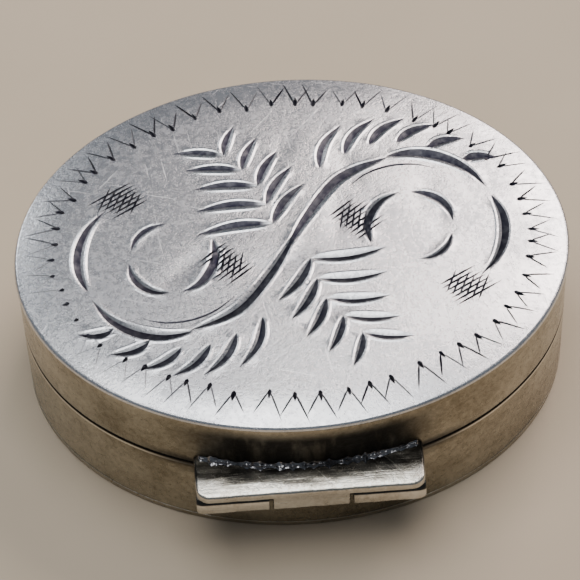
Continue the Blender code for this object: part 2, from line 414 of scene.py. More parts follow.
def plume():
    """Leaflets along the outside of the curl."""
    spray(((2.4, 6.2), (5.4, 7.9), (8.6, 8.0), (12.4, 6.2)), 6, (84.0, 14.0), (4.4, 2.5), (0.52, 0.60),
          (-38.0, -22.0))


def fern():
    """Two rows of leaflets either side of a bare stem, in the space below the curl."""
    stem = ((1.2, -1.6), (2.0, -5.0), (4.2, -8.0))
    spray(stem, 5, (-4.0, -14.0), (5.4, 3.6), (0.60, 0.50), (20.0, 12.0), lean=-0.15, peak=0.42, pale=0.15)
    spray(stem, 5, (-118.0, -104.0), (4.2, 2.8), (0.60, 0.48), (-16.0, -8.0), peak=0.42)


def patch(centre, turn, reach, spread, count, width=0.15):
    """Patch of fine parallel lines; spread is its size across the lines."""
    along, across = heading(turn), heading(turn + 90.0)
    for number in range(count):
        offset = (number / (count - 1) - 0.5) * spread
        shake = noise.noise((offset * 2.3, centre[0], centre[1]))
        middle = Vector(centre) + across * offset + along * shake * 0.45
        half = along * reach * (0.5 + 0.12 * shake)
        cut(middle - half, middle + half, width=width * HATCH_WIDTH, lean=0.0, peak=0.4, steep=FINE_STEEP,
            spacing=0.6, taper=0.6)


def hatching():
    """Shaded patches beside the stem and in the mouth of the curl, each crossed by a second set of lines."""
    patch((4.6, 1.6), 38.0, 2.8, 2.8, 9)
    patch((4.6, 1.6), 78.0, 2.4, 2.0, 6, 0.13)
    patch((11.6, -4.6), 30.0, 3.4, 2.0, 7)
    patch((11.6, -4.6), 66.0, 2.4, 2.2, 6, 0.13)


def soft_hollows():
    """Soft hollows scattered over the lid: place, length, width, angle and depth of each."""
    rng = np.random.default_rng(SEED + 1)
    hollows = []
    for _ in range(HOLLOW_COUNT):
        place = heading(rng.uniform(0.0, 360.0)) * rng.uniform(2.0, 11.0)
        length = rng.uniform(1.3, 2.4)
        width = rng.uniform(0.5, 0.9)
        angle = rng.uniform(0.0, 180.0)
        depth = rng.uniform(0.020, 0.040)
        hollows.append((place.x, place.y * 0.8, length, width, angle, depth))
    return hollows


def half_turn():
    """Repeat every cut made so far, turned half round about the lid's middle."""
    CUTS.extend([{**stroke, "path": -stroke["path"]} for stroke in CUTS])


def border():
    """Zigzag border, worn faint in one direction, with the unevenness of work by hand."""
    rng = np.random.default_rng(SEED)
    for tooth in range(BORDER_TEETH):
        turn = 2.0 * math.pi * (tooth + rng.uniform(-0.2, 0.2)) / BORDER_TEETH
        inner = BORDER_INNER + rng.uniform(-0.2, 0.2)
        outer = BORDER_OUTER + rng.uniform(-0.12, 0.25)
        away = math.remainder(turn - math.radians(FAINT_TURN), 2.0 * math.pi)
        bold = 1.0 - FAINT_LOSS * math.exp(-(away / FAINT_SPREAD) ** 2)
        fine_lines(rng, turn, inner, outer, bold)
        tick(rng, turn, inner, bold)


def fine_lines(rng, turn, inner, outer, bold):
    """Two fine lines from an inner point of the border out to the rim."""
    half = math.pi / BORDER_TEETH
    slant = 0.55 * math.sin(turn * 2.0 + 0.4) * half
    for side in (-1.0, 1.0):
        reach = outer if side * slant <= 0.0 else outer + 0.5
        end = rim_point(turn + side * half + slant * 0.5, reach)
        fine = rng.uniform(0.75, 1.1)
        cut(rim_point(turn, inner), end, width=(0.05 + 0.10 * bold) * fine, lean=0.0, peak=0.2,
            steep=FINE_STEEP, dark=bold * fine * 0.95, spacing=0.7, taper=0.3)


def tick(rng, turn, inner, bold):
    """Punched tick at an inner point of the border."""
    end = rim_point(turn, inner - 0.15 - 0.45 * bold - rng.uniform(0.0, 0.2))
    width = 0.27 + rng.uniform(0.0, 0.09)
    cut(rim_point(turn, inner + 0.12), end, width=width, lean=0.0, peak=0.28, steep=FINE_STEEP, spacing=0.12)


def rim_point(turn, inset):
    """Point on the lid at an angle, set in from its rim."""
    return Vector(((HALF_LENGTH - inset) * math.cos(turn), (HALF_WIDTH - inset) * math.sin(turn)))


def engrave():
    """Record every cut and hollow on the lid."""
    scroll()
    plume()
    fern()
    hatching()
    half_turn()
    border()
    HOLLOWS.extend(soft_hollows())


def measure_cuts(points):
    """Depth below the surface (less than nothing on a raised lip) and darkness, oxide and painted shade
    together, at each (x, y) point.
    """
    depth = np.zeros(len(points))
    dark = np.zeros(len(points))
    lips = np.zeros(len(points))
    for stroke in CUTS:
        path = stroke["path"]
        reach = max(stroke["left"].max(), stroke["right"].max()) + LIP_WIDTH
        near = np.all((points > path.min(0) - reach) & (points < path.max(0) + reach), axis=1)
        if not near.any():
            continue
        chosen = points[near]
        start, run = path[:-1], np.diff(path, axis=0)
        along = np.einsum("psk,sk->ps", chosen[:, None] - start, run) / (run ** 2).sum(1)
        along = np.clip(along, 0.0, 1.0)
        away = chosen[:, None] - (start + along[..., None] * run)
        best = np.argmin((away ** 2).sum(-1), axis=1)
        rows = np.arange(len(chosen))
        share, offset, way = along[rows, best], away[rows, best], run[best]
        side = way[:, 0] * offset[:, 1] - way[:, 1] * offset[:, 0]

        def between(values):
            """Value of the stroke at each point's nearest place."""
            return values[best] * (1.0 - share) + values[best + 1] * share

        half = np.where(side > 0.0, between(stroke["left"]), between(stroke["right"]))
        gone = np.hypot(offset[:, 0], offset[:, 1])
        inside = np.clip(1.0 - gone / np.maximum(half, 1e-6), 0.0, 1.0)
        if stroke["lean"]:
            rise = np.clip((gone - half) / LIP_WIDTH, 0.0, 1.0)
            lip = 4.0 * rise * (1.0 - rise) * between(stroke["depth"]) * LIP_SHARE
            lips[near] = np.maximum(lips[near], lip)
        # A leaning cut's broad side is painted near black, oxide and painted shade together; its far side
        # gets less
        broad = ((side > 0.0) == (stroke["lean"] > 0.0)) | (stroke["lean"] == 0.0)
        oxide = np.clip(inside * STAIN_EDGE, 0.0, 0.95 + inside * 0.05)
        stain = np.where(broad, oxide, inside ** 2 * FAR_SIDE_STAIN)
        stain = stain * between(stroke["dark"])
        here = inside * between(stroke["depth"])
        deeper = here > depth[near]
        depth[near] = np.where(deeper, here, depth[near])
        dark[near] = np.maximum(dark[near], stain)
    return np.where(depth > 0.0, depth, -lips), dark


def dome_height(points):
    """Height of the uncut lid: a shallow dome, slightly dented, falling away near its rim."""
    radius = np.hypot(points[:, 0] / HALF_LENGTH, points[:, 1] / HALF_WIDTH)
    edge = np.clip((radius - RIM_START) / (1.0 - RIM_START), 0.0, 1.2)
    dents = DENT_DEPTH * np.array([noise.noise((x * DENT_SCALE, y * DENT_SCALE, 3.1)) for x, y in points])
    for x, y, length, width, turn, depth in HOLLOWS:
        cosine, sine = math.cos(math.radians(turn)), math.sin(math.radians(turn))
        along = ((points[:, 0] - x) * cosine + (points[:, 1] - y) * sine) / length
        across = ((points[:, 1] - y) * cosine - (points[:, 0] - x) * sine) / width
        dents -= HOLLOW_SCALE * depth * np.exp(-along ** 2 - across ** 2)
    return PLATE_HIGH.z - CROWN_DROP * radius ** 2 - RIM_DROP * edge ** 2 + dents


def cut_lines():
    """Outline and bottom lines of every cut, as points and the edges between them."""
    points = []
    edges = []
    for stroke in CUTS:
        path = stroke["path"]
        tangent = np.gradient(path, axis=0)
        tangent /= np.linalg.norm(tangent, axis=1)[:, None]
        across = np.stack([-tangent[:, 1], tangent[:, 0]], axis=1)
        inner = slice(1, -1)
        sides = (
            path[inner] + across[inner] * stroke["left"][inner, None],
            path[inner],
            path[inner] - across[inner] * stroke["right"][inner, None],
        )
        first = len(points)
        points.extend([path[0], path[-1]])
        for line in sides:
            start = len(points)
            points.extend(line)
            edges.append((first, start))
            edges.extend((start + step, start + step + 1) for step in range(len(line) - 1))
            edges.append((start + len(line) - 1, first + 1))
        if stroke["lean"]:
            for side, widths in ((1.0, stroke["left"]), (-1.0, stroke["right"])):
                for share in (0.5, 1.0):
                    points.extend(path + across * side * (widths + LIP_WIDTH * share)[:, None])
    return points, edges


def grid_points(cut_points):
    """Even grid inside the rim that keeps clear of the cuts."""
    xs = np.arange(-HALF_LENGTH, HALF_LENGTH, GRID_PITCH)
    ys = np.arange(-HALF_WIDTH, HALF_WIDTH, GRID_PITCH * GRID_ROW_SHARE)
    rows = []
    for row, y in enumerate(ys):
        offset = (row % 2) * GRID_PITCH / 2.0
        rows.append(np.stack([xs + offset, np.full(len(xs), y)], axis=1))
    grid = np.concatenate(rows)
    radius = np.hypot(grid[:, 0] / (HALF_LENGTH - GRID_INSET), grid[:, 1] / (HALF_WIDTH - GRID_INSET))
    grid = grid[radius < 1.0]
    cut_x, cut_y = cut_points[:, 0], cut_points[:, 1]
    clear = np.array([np.min((cut_x - x) ** 2 + (cut_y - y) ** 2) for x, y in grid])
    return grid[clear > GRID_CLEARANCE ** 2]


def build_lid_plate(material):
    """Engraved, domed top sheet with a rolled edge."""
    engrave()
    shell = Shell()
    rim_inset = ROLL_RADIUS - OVERHANG
    rim = [point[:2] for point in oval_ring(rim_inset, 0.0)]
    cut_points, cut_edges = cut_lines()
    flat = rim + [tuple(point) for point in cut_points]
    flat += [tuple(point) for point in grid_points(np.array(cut_points))]
    edges = [(step, (step + 1) % OVAL_STEPS) for step in range(OVAL_STEPS)]
    edges += [(a + OVAL_STEPS, b + OVAL_STEPS) for a, b in cut_edges]
    made = delaunay_2d_cdt([Vector(point) for point in flat], edges, [], 0, 1e-5, True)
    top = np.array([tuple(point) for point in made[0]])
    faces = [tuple(face) for face in made[2]]
    depth, _ = measure_cuts(top)
    heights = dome_height(top) - depth
    numbers = shell.add(zip(top[:, 0], top[:, 1], heights))
    shell.faces.extend(faces)
    place = {}
    for number, sources in zip(numbers, made[3]):
        for source in sources:
            place[source] = number
    ring = [place[step] for step in range(OVAL_STEPS)]
    close_plate(shell, ring, rim_inset)
    piece = add_piece("lid_engraved_plate", shell, material, "lid", ["lid_plate"],
                      sharp=11.0)
    oxide_and_shade_corners(piece.data)


def close_plate(shell, ring, rim_inset):
    """Roll the plate's edge over and close its underside."""
    heights = [shell.points[number][2] for number in ring]
    sections = []
    for step in range(1, ARC_STEPS + 1):
        turn = math.pi / 2.0 * step / ARC_STEPS
        sections.append((rim_inset - ROLL_RADIUS * math.sin(turn), ROLL_RADIUS * (1.0 - math.cos(turn))))
    last = ring
    for inset, fall in sections:
        points = [(x, y, top - fall) for (x, y, _), top in zip(oval_ring(inset, 0.0), heights)]
        after = shell.add(points)
        shell.bridge(last, after)
        last = after
    under = (
        (-OVERHANG, PLATE_LOW.z + 0.12),
        (-OVERHANG + 0.05, PLATE_LOW.z + 0.04),
        (-OVERHANG + 0.14, PLATE_LOW.z),
        (LID_WALL, PLATE_LOW.z),
        (1.2, PLATE_LOW.z + 0.05),
    )
    for inset, height in under:
        after = shell.add(oval_ring(inset, height))
        shell.bridge(last, after)
        last = after
    for scale in (0.84, 0.70, 0.55, 0.40, 0.25, 0.12):
        height = PLATE_LOW.z + CROWN_DROP * (1.0 - scale ** 2) * UNDER_SHARE
        after = shell.add(scaled_oval(scale, height))
        shell.bridge(last, after)
        last = after
    shell.fan(last, (0.0, 0.0, PLATE_LOW.z + CROWN_DROP * UNDER_SHARE))


def oxide_and_shade_corners(mesh):
    """Store how dark each face corner is, oxide and painted shade together, so that a cut's shaded broad
    side can be darker than its lit far side.
    """
    count = len(mesh.loops)
    vertices = np.zeros(len(mesh.vertices) * 3, np.float32)
    mesh.vertices.foreach_get("co", vertices)
    vertices = vertices.reshape(-1, 3) / MM
    owner = np.zeros(count, np.int32)
    mesh.loops.foreach_get("vertex_index", owner)
    corners = vertices[owner]
    nudged = np.empty((count, 2))
    on_top = np.zeros(count, bool)
    for polygon in mesh.polygons:
        span = slice(polygon.loop_start, polygon.loop_start + polygon.loop_total)
        on_top[span] = polygon.normal.z > 0.2
        middle = corners[span].mean(0)
        nudged[span] = corners[span, :2] + (middle[:2] - corners[span, :2]) * 0.30
    _, dark = measure_cuts(nudged)
    layer = mesh.attributes.new("stain", "FLOAT", "CORNER")
    layer.data.foreach_set("value", np.where(on_top, dark, 0.0).astype(np.float32))


# ---- walls and fittings

def build_band(name, corners, pitch, uneven, material, body, node):
    """Oval band from the (inset, height, radius) corners of its section."""
    section = split_long_sides(rounded_outline(corners, 3), pitch)
    add_piece(name, oval_band(section, uneven), material, body, [node])


def build_walls(wall, inner):
    """Lid wall, base wall, closing rim and floor."""
    build_band("lid_wall", (
        (0.0, BAND_LOW.z, 0.16),
        (0.0, BAND_HIGH.z, 0.05),
        (LID_WALL, BAND_HIGH.z, 0.0),
        (LID_WALL, BAND_LOW.z, 0.08),
    ), 0.7, WALL_SWAY, wall, "lid", "lid_band")
    build_band("base_wall", (
        (0.0, BASE_LOW.z, 0.04),
        (0.0, BASE_HIGH.z, 0.20),
        (BASE_WALL, BASE_HIGH.z, 0.06),
        (BASE_WALL, BASE_LOW.z, 0.0),
    ), 0.7, WALL_SWAY, wall, "base", "base_band")
    outer = BASE_WALL + SOLDER_GAP
    build_band("closing_rim", (
        (outer, BEZEL_LOW.z, 0.03),
        (outer, BEZEL_HIGH.z, 0.14),
        (outer + BEZEL_SHEET, BEZEL_HIGH.z, 0.14),
        (outer + BEZEL_SHEET, BEZEL_LOW.z, 0.03),
    ), 0.8, 0.0, inner, "base", "base_bezel")
    build_floor(inner)


def scaled_oval(scale, height):
    """Points of the walls' outer oval, drawn in towards its middle."""
    return [(x * scale, y * scale, height) for x, y, _ in oval_ring(0.0, 0.0)]


def build_floor(material):
    """Floor sheet with a filed lower edge and a slight sag between its edges."""
    shell = Shell()
    rings = []
    for scale in (0.15, 0.35, 0.55, 0.75, 0.9):
        rings.append(shell.add(scaled_oval(scale, FLOOR_LOW.z + FLOOR_SAG * (1.0 - scale ** 2))))
    edge = rounded_outline((
        (0.6, FLOOR_LOW.z, 0.0),
        (0.0, FLOOR_LOW.z, 0.16),
        (0.0, FLOOR_HIGH.z, 0.04),
    ), 5)
    rings += [shell.add(oval_ring(inset, height)) for inset, height in edge]
    rings += [shell.add(scaled_oval(scale, FLOOR_HIGH.z)) for scale in (0.8, 0.5, 0.2)]
    for first, second in zip(rings, rings[1:]):
        shell.bridge(first, second)
    shell.fan(rings[0], (0.0, 0.0, FLOOR_LOW.z + FLOOR_SAG))
    shell.fan(rings[-1], (0.0, 0.0, FLOOR_HIGH.z))
    add_piece("floor_sheet", shell, material, "base", ["base_floor"])


def leaf_section(x, shrink):
    """Section of the hinge leaf at x: rounded front edges, rounded plan corners, back cut to the wall."""
    past = max(0.0, abs(x) - (LEAF_HIGH.x - LEAF_CORNER))
    set_back = LEAF_CORNER - math.sqrt(max(0.0, LEAF_CORNER ** 2 - past ** 2))
    front = LEAF_LOW.y + set_back * 0.9 + shrink
    back = -wall_y(x, SOLDER_GAP)
    low, high = LEAF_LOW.z + shrink, LEAF_HIGH.z - shrink
    outline = rounded_outline((
        (back, high, 0.0),
        (back, low, 0.0),
        (front, low, 0.12),
        (front, high, 0.26),
    ), 6)
    start = outline[-1][0]
    run = back - start
    outline += [(start + run * step / LEAF_TOP_STEPS, high) for step in range(1, LEAF_TOP_STEPS)]
    worn = []
    for y, z in outline:
        forward = (back - y) / (back - front)
        fall = LEAF_FALL * forward ** 3 if z > low + 0.2 else 0.0
        worn.append((y, z - fall))
    return worn


def leaf_stations():
    """Stations along the leaf, with more of them at its rounded plan corners."""
    stations = rounded_ends(LEAF_LOW.x, LEAF_HIGH.x, LEAF_END, 70)
    for step in range(LEAF_CORNER_STEPS):
        inward = 0.8 * (1 - math.sin(step / LEAF_CORNER_STEPS * math.pi / 2))
        for side in (-1.0, 1.0):
            stations.append((side * (LEAF_HIGH.x - LEAF_END - inward), 0.0))
    return tidy_stations(sorted(set(stations)))


def build_leaf(material):
    """Hinge leaf with softened edges and a slightly uneven filed top."""
    add_piece("hinge_leaf", loft(leaf_stations(), leaf_section, sway=HINGE_SWAY), material, "lid",
              ["lid_hinge_leaf"], sharp=38.0)


def tidy_stations(stations):
    """Drop stations that nearly coincide with the one before."""
    kept = [stations[0]]
    for station in stations[1:]:
        if station[0] - kept[-1][0] > 0.004:
            kept.append(station)
    return kept


def outer_knuckle_section(x, shrink):
    """Section of a base knuckle: squared below, round above, its back against the base's wall."""
    radius = KNUCKLE_HIGH.z - AXIS.z - KNUCKLE_INSET - shrink
    past = max(0.0, abs(x) - (OUTER_HIGH.x - KNUCKLE_SHOULDER)) / KNUCKLE_SHOULDER
    fall = KNUCKLE_FALL * (1.0 - math.sqrt(max(0.0, 1.0 - past ** 2)))
    back = -wall_y(x, SOLDER_GAP)
    front, bottom = AXIS.y - radius + fall, AXIS.z - radius + fall
    outline = rounded_outline((
        (back, bottom, 0.0),
        (front, bottom, 0.24),
        (front, AXIS.z, 0.0),
    ), 5)
    steps = 9
    for step in range(1, steps + 1):
        turn = math.pi / 2.0 * step / steps
        outline.append((AXIS.y - (radius - fall) * math.cos(turn), AXIS.z + radius * math.sin(turn)))
    outline.append((back, AXIS.z + radius))
    return outline


def centre_knuckle_section(_x, shrink):
    """Section of the lid's knuckle, flat on top where it meets the leaf."""
    radius = (KNUCKLE_HIGH.y - KNUCKLE_LOW.y) / 2.0 - shrink
    return rounded_outline((
        (AXIS.y + radius, KNUCKLE_HIGH.z, 0.0),
        (AXIS.y - radius, KNUCKLE_HIGH.z, 0.0),
        (AXIS.y - radius, KNUCKLE_LOW.z + shrink, 0.22),
        (AXIS.y + radius, KNUCKLE_LOW.z + shrink, 0.14),
    ), 5)


def build_knuckles(material):
    """Three knuckles with rounded ends and the pin's hole through them."""
    for name, side in (("left", -1.0), ("right", 1.0)):
        stations = rounded_ends(OUTER_LOW.x, OUTER_HIGH.x, 0.06, 48)
        if side < 0.0:
            stations = [(-x, shrink) for x, shrink in reversed(stations)]
        shell = loft(stations, outer_knuckle_section, PIN_BORE, sway=HINGE_SWAY)
        add_piece("base_hinge_knuckle_" + name, shell, material, "base", ["base_knuckle_" + name])
    stations = rounded_ends(KNUCKLE_LOW.x, KNUCKLE_HIGH.x, 0.12, 12)
    shell = loft(stations, centre_knuckle_section, PIN_BORE, sway=HINGE_SWAY)
    add_piece("lid_hinge_knuckle", shell, material, "lid", ["lid_knuckle"])


def build_pin(material):
    """Hinge pin with domed ends."""
    stations = rounded_ends(PIN_LOW.x, PIN_HIGH.x, 0.14, 20)

    def section(_x, shrink):
        """Round section about the hinge's axis."""
        return [(y, z) for _, y, z in pin_circle(0.0, PIN_RADIUS - shrink)]

    add_piece("pin_wire", loft(stations, section), material, "base", ["hinge_pin"])


def solder_size(x, seed):
    """How far a run of solder spreads at x: uneven, with small beads."""
    rng = np.random.default_rng(seed)
    size = 0.22 + 0.10 * noise.noise((x * 0.9, seed, 0.0)) + 0.08 * noise.noise((x * 4.5, seed, 2.0))
    beads = 34
    places = rng.uniform(-8.0, 8.0, beads)
    heights = rng.uniform(0.04, 0.20, beads)
    spreads = rng.uniform(0.09, 0.20, beads)
    for place, height, spread in zip(places, heights, spreads):
        size += height * math.exp(-((x - place) / spread) ** 2)
    return size


def solder_run(name, start, end, height, up, body, node, material, seed):
    """Lumpy fillet of solder along the wall, above the leaf or below a knuckle."""
    steps = int((end - start) / 0.07)

    def section(x, shrink):
        """Bulging fillet between the wall and the hinge."""
        size = max(0.06, solder_size(x, seed) - shrink)
        back = -wall_y(x, SOLDER_GAP)
        points = [(back, height), (back - size, height)]
        for step in range(1, 6):
            turn = math.pi / 2.0 * step / 6
            bulge = size * (0.70 + 0.22 * noise.noise((x * 3.0, step * 0.7, seed)))
            points.append((back - bulge * math.cos(turn), height + up * bulge * math.sin(turn)))
        points.append((back, height + up * size))
        return points

    stations = rounded_ends(start, end, 0.2, steps)
    add_piece(name, loft(stations, section), material, body, [node], sharp=60.0)


def build_solder(material):
    """Solder above the leaf and below the two base knuckles."""
    high = LEAF_HIGH.z + SOLDER_GAP
    low = KNUCKLE_LOW.z - SOLDER_GAP
    box_low, box_high = node_box("lid_leaf_solder")
    spill = 0.6
    solder_run("leaf_solder", box_low.x - spill, box_high.x + spill, high, 1.0, "lid", "lid_leaf_solder",
               material, 3)
    for side in ("left", "right"):
        node = "base_solder_" + side
        box_low, box_high = node_box(node)
        solder_run("knuckle_solder_" + side, box_low.x, box_high.x, low, -1.0, "base", node, material, 5)


def thumb_section(x, shrink):
    """Section of the thumb piece: a rounded lip that dies away towards its ends."""
    share = min(1.0, abs(x) / THUMB_HIGH.x)
    reach = 0.3 + (THUMB_HIGH.y - HALF_WIDTH - 0.33) * math.sqrt(1.0 - share ** 2)
    back = wall_y(x, SOLDER_GAP)
    low, high = THUMB_LOW.z + shrink, THUMB_HIGH.z - shrink
    front = back + reach - shrink
    return rounded_outline((
        (back, low, 0.0),
        (front, low + 0.10, 0.2),
        (front, high, 0.22),
        (back, high, 0.0),
    ), 6)


def build_thumb_piece(material):
    """Small lip for a thumbnail, opposite the hinge."""
    stations = rounded_ends(THUMB_LOW.x, THUMB_HIGH.x, 0.14, 40)
    add_piece("thumb_lip", loft(stations, thumb_section, sway=0.015), material, "lid", ["thumb_piece"],
              sharp=40.0)


# ---- materials

class Graph:
    """Short names for the shader nodes that the aged silver uses."""

    def __init__(self, name):
        self.material = bpy.data.materials.new(name)
        self.material.use_nodes = True
        self.tree = self.material.node_tree
        self.shader = self.tree.nodes["Principled BSDF"]
        coordinates = self.tree.nodes.new("ShaderNodeTexCoord")
        self.place = coordinates.outputs["Object"]

    def link(self, source, target):
        """Join an output to an input."""
        self.tree.links.new(source, target)

    def scaled(self, scale, turn=(0.0, 0.0, 0.0)):
        """Object coordinates turned, and then stretched; scale is features per millimetre."""
        turned = self.tree.nodes.new("ShaderNodeMapping")
        turned.inputs["Rotation"].default_value = turn
        stretched = self.tree.nodes.new("ShaderNodeMapping")
        stretched.inputs["Scale"].default_value = [value / MM for value in scale]
        self.link(self.place, turned.inputs["Vector"])
        self.link(turned.outputs["Vector"], stretched.inputs["Vector"])
        return stretched.outputs["Vector"]

    def noise(self, scale, detail=3.0, turn=(0.0, 0.0, 0.0), rough=0.55):
        """Noise between 0 and 1."""
        texture = self.tree.nodes.new("ShaderNodeTexNoise")
        texture.inputs["Scale"].default_value = 1.0
        texture.inputs["Detail"].default_value = detail
        texture.inputs["Roughness"].default_value = rough
        self.link(self.scaled(scale, turn), texture.inputs["Vector"])
        return texture.outputs["Fac"]

    def ramp(self, source, low, high, start=0.0, end=1.0):
        """Smoothly map low..high of a value onto start..end."""
        ramp = self.tree.nodes.new("ShaderNodeMapRange")
        ramp.interpolation_type = "SMOOTHSTEP"
        for name, value in (("From Min", low), ("From Max", high), ("To Min", start), ("To Max", end)):
            ramp.inputs[name].default_value = value
        self.link(source, ramp.inputs["Value"])
        return ramp.outputs["Result"]

    def fade(self, source, low, high, start=0.0, end=1.0):
        """Ramp between two places given in millimetres."""
        return self.ramp(source, low * MM, high * MM, start, end)

    def math(self, kind, first, second):
        """One arithmetic step on two outputs, or on an output and a number."""
        step = self.tree.nodes.new("ShaderNodeMath")
        step.operation = kind
        for index, value in enumerate((first, second)):
            if isinstance(value, float):
                step.inputs[index].default_value = value
            else:
                self.link(value, step.inputs[index])
        return step.outputs["Value"]

    def blend(self, share, first, second):
        """Mix two colours, each a tuple or an output."""
        mix = self.tree.nodes.new("ShaderNodeMix")
        mix.data_type = "RGBA"
        self.link(share, mix.inputs["Factor"])
        for name, value in (("A", first), ("B", second)):
            socket = [item for item in mix.inputs if item.name == name and item.type == "RGBA"][0]
            if isinstance(value, tuple):
                socket.default_value = (*value, 1.0)
            else:
                self.link(value, socket)
        return [item for item in mix.outputs if item.type == "RGBA"][0]

    def bump(self, height, distance, strength=1.0, below=None):
        """Bump from a height output; distance is in millimetres."""
        bump = self.tree.nodes.new("ShaderNodeBump")
        bump.inputs["Distance"].default_value = distance * MM
        bump.inputs["Strength"].default_value = strength
        self.link(height, bump.inputs["Height"])
        if below:
            self.link(below, bump.inputs["Normal"])
        return bump.outputs["Normal"]

    def times(self, first, second):
        """Product of two outputs, or of an output and a number."""
        return self.math("MULTIPLY", first, second)

    def apart(self, source, place):
        """Distance of an output from a place given in millimetres."""
        return self.math("ABSOLUTE", self.math("SUBTRACT", source, place * MM), 0.0)

    def axis(self, name):
        """One object coordinate, in metres."""
        split = self.tree.nodes.new("ShaderNodeSeparateXYZ")
        self.link(self.place, split.inputs["Vector"])
        return split.outputs[name]


def scratches(graph, turns, fine, along, sparse):
    """Sparse hairline scratches in several directions, 0 to 1."""
    total = None
    for turn in turns:
        lines = graph.noise((along, fine, fine), 0.0, (0.0, 0.0, turn))
        lines = graph.ramp(lines, sparse, sparse + 0.06)
        total = lines if total is None else graph.math("MAXIMUM", total, lines)
    return total


def aged_silver(name, clean, tarnish, cover, roughness, grain, grain_depth, turns=(0.3, 1.4, 2.3)):
    """Worn silver: cloudy tarnish, a directional grain, hairline scratches and tiny pits."""
    graph = Graph(name)
    clouds = graph.noise((0.16, 0.16, 0.20), 5.0, rough=0.62)
    mottle = graph.noise((2.4, 2.4, 2.4), 5.0, rough=0.75)
    grain_lines = graph.noise(grain, 3.0)
    pits = graph.ramp(graph.noise((5.0, 5.0, 5.0), 2.0), 0.66, 0.74)
    hair = scratches(graph, turns, fine=6.0, along=0.16, sparse=0.79)
    stain = graph.math("ADD", clouds, graph.times(mottle, 0.7))
    stain = graph.ramp(stain, 0.95 - cover, 1.75 - cover)
    colour = graph.blend(stain, clean, tarnish)
    colour = graph.blend(graph.times(pits, 0.55), colour, tuple(value * 0.25 for value in tarnish))
    rough = graph.ramp(mottle, 0.25, 0.75, roughness * 0.75, roughness * 1.35)
    rough = graph.math("ADD", rough, graph.times(stain, 0.10))
    rough = graph.math("ADD", rough, graph.times(hair, 0.10))
    height = graph.times(grain_lines, grain_depth)
    height = graph.math("SUBTRACT", height, graph.times(hair, 0.2))
    height = graph.math("SUBTRACT", height, graph.times(pits, 0.3))
    height = graph.math("ADD", height, graph.times(mottle, 2.0))
    normal = graph.bump(height, 0.010)
    graph.shader.inputs["Metallic"].default_value = 1.0
    return graph, colour, rough, normal


def finish_silver(graph, colour, rough, normal):
    """Join the three results to the shader."""
    graph.link(colour, graph.shader.inputs["Base Color"])
    graph.link(rough, graph.shader.inputs["Roughness"])
    graph.link(normal, graph.shader.inputs["Normal"])
    return graph.material


def outer_face(graph):
    """1 on the walls' outer face, falling to 0 just inside it."""
    total = None
    for name, half in (("X", HALF_LENGTH), ("Y", HALF_WIDTH)):
        share = graph.times(graph.axis(name), 1.0 / (half * MM))
        square = graph.times(share, share)
        total = square if total is None else graph.math("ADD", total, square)
    return graph.ramp(total, 0.966, 0.982)


def engraved_material():
    """Polished lid with dark oxide and painted shade in the cuts."""
    graph, colour, rough, normal = aged_silver(
        "engraved_silver_worn_oxide_and_shade", clean=(0.86, 0.86, 0.87), tarnish=(0.42, 0.43, 0.46), cover=0.46,
        roughness=0.20, grain=(0.9, 5.0, 3.0), grain_depth=0.20)
    layer = graph.tree.nodes.new("ShaderNodeAttribute")
    layer.attribute_name = "stain"
    broken = graph.ramp(graph.noise((2.2, 2.2, 2.2), 3.0), 0.3, 0.6, 0.95, 1.0)
    specks = graph.ramp(graph.noise((4.5, 4.5, 4.5), 3.0, rough=0.8), 0.52, 0.72)
    colour = graph.blend(graph.times(specks, 0.45), colour, (0.30, 0.31, 0.34))
    # Oxide and painted shade in the cuts, near black on a cut's broad side
    stain = graph.times(layer.outputs["Fac"], broken)
    colour = graph.blend(stain, colour, (0.006, 0.006, 0.014))
    rough = graph.math("ADD", rough, graph.times(stain, 0.15))
    return finish_silver(graph, colour, rough, normal)


def wall_soot_and_shade(graph):
    """Black on the walls' outer face: oxide and painted shade behind the hinge, a painted shadow beside the
    seam near it, and painted shade in the seam.
    """
    depth, height = graph.axis("Y"), graph.axis("Z")
    # Oxide and painted shade on the walls behind the leaf and the knuckles
    hinge_side = graph.fade(depth, -HALF_WIDTH * 0.86, -HALF_WIDTH * 0.97)
    low_part = graph.fade(height, BAND_HIGH.z + 0.1, BAND_HIGH.z - 1.3)
    above = graph.fade(height, KNUCKLE_LOW.z + 0.1, KNUCKLE_LOW.z + 0.4)
    uneven = graph.ramp(graph.noise((1.3, 1.3, 0.35), 4.0), 0.3, 0.55, 0.80, 1.0)
    soot_and_shade = graph.times(graph.times(graph.times(hinge_side, low_part), uneven), above)
    seam = graph.apart(height, SEAM)
    # Painted shadow along the seam, widening towards the hinge
    near_hinge = graph.fade(depth, -HALF_WIDTH * 0.78, -HALF_WIDTH * 0.91)
    seam_shadow = graph.times(graph.fade(seam, 1.0, 0.25), near_hinge)
    soot_and_shade = graph.math("MAXIMUM", soot_and_shade, graph.times(seam_shadow, 0.9))
    # Painted shade in the seam between the lid and the base
    soot_and_shade = graph.math("MAXIMUM", soot_and_shade, graph.fade(seam, 0.22, 0.14))
    return graph.times(soot_and_shade, outer_face(graph))


